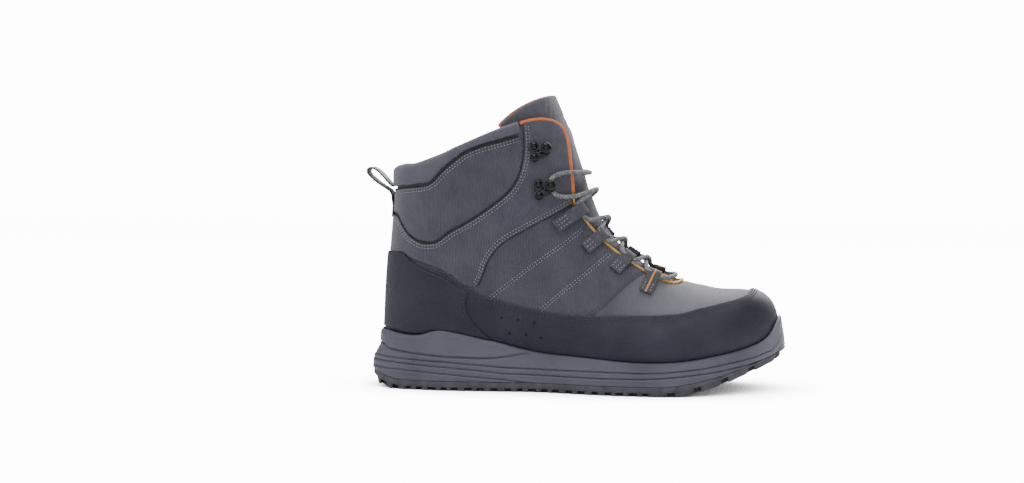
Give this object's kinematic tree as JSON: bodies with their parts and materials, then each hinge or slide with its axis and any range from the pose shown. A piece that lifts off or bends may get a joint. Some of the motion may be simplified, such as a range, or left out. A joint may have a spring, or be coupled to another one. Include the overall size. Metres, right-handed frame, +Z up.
{
  "type": "wading boot",
  "caption": "Ankle-high lace-up wading boot with lugged rubber sole, moulded foam cup, rand with toe cap, woven upper, padded collar, lace loops and speed hooks.",
  "frame": {"origin": "on the floor under the middle of the heel", "axes": "+X towards the toe, +Y towards the inner side of the right foot, +Z up"},
  "size_m": [0.3222, 0.1121, 0.2255],
  "materials": {
    "textile": "woven charcoal textile, matte",
    "cuff": "smooth stretch knit, matte",
    "rand": "synthetic nubuck, near black, fine nap",
    "foam": "moulded foam, grey, satin",
    "rubber": "sole rubber, black, matte",
    "webbing": "narrow woven webbing, grey green",
    "lace": "round braided lace, grey with light flecks",
    "metal": "black coated steel, satin",
    "footbed": "foam footbed with a knit cover, black",
    "piping": "orange edge tape and piping",
    "thread": "light grey sewing thread"
  },
  "bodies": {
    "root": {"outsole": "rubber", "midsole": "foam", "insole": "footbed", "upper": "textile", "rand": "rand", "heel_counter": "rand", "quarter": "textile", "ankle_panel": "textile", "cuff": "cuff", "tongue": "textile", "lace_loop_outer_1": "webbing", "lace_loop_outer_2": "webbing", "lace_loop_outer_3": "webbing", "lace_loop_outer_4": "webbing", "lace_loop_inner_1": "webbing", "lace_loop_inner_2": "webbing", "lace_loop_inner_3": "webbing", "lace_loop_inner_4": "webbing", "hook_outer_low": "metal", "hook_outer_high": "metal", "hook_inner_low": "metal", "hook_inner_high": "metal", "lace": "lace", "pull_loop": "webbing"}
  },
  "joints": []
}
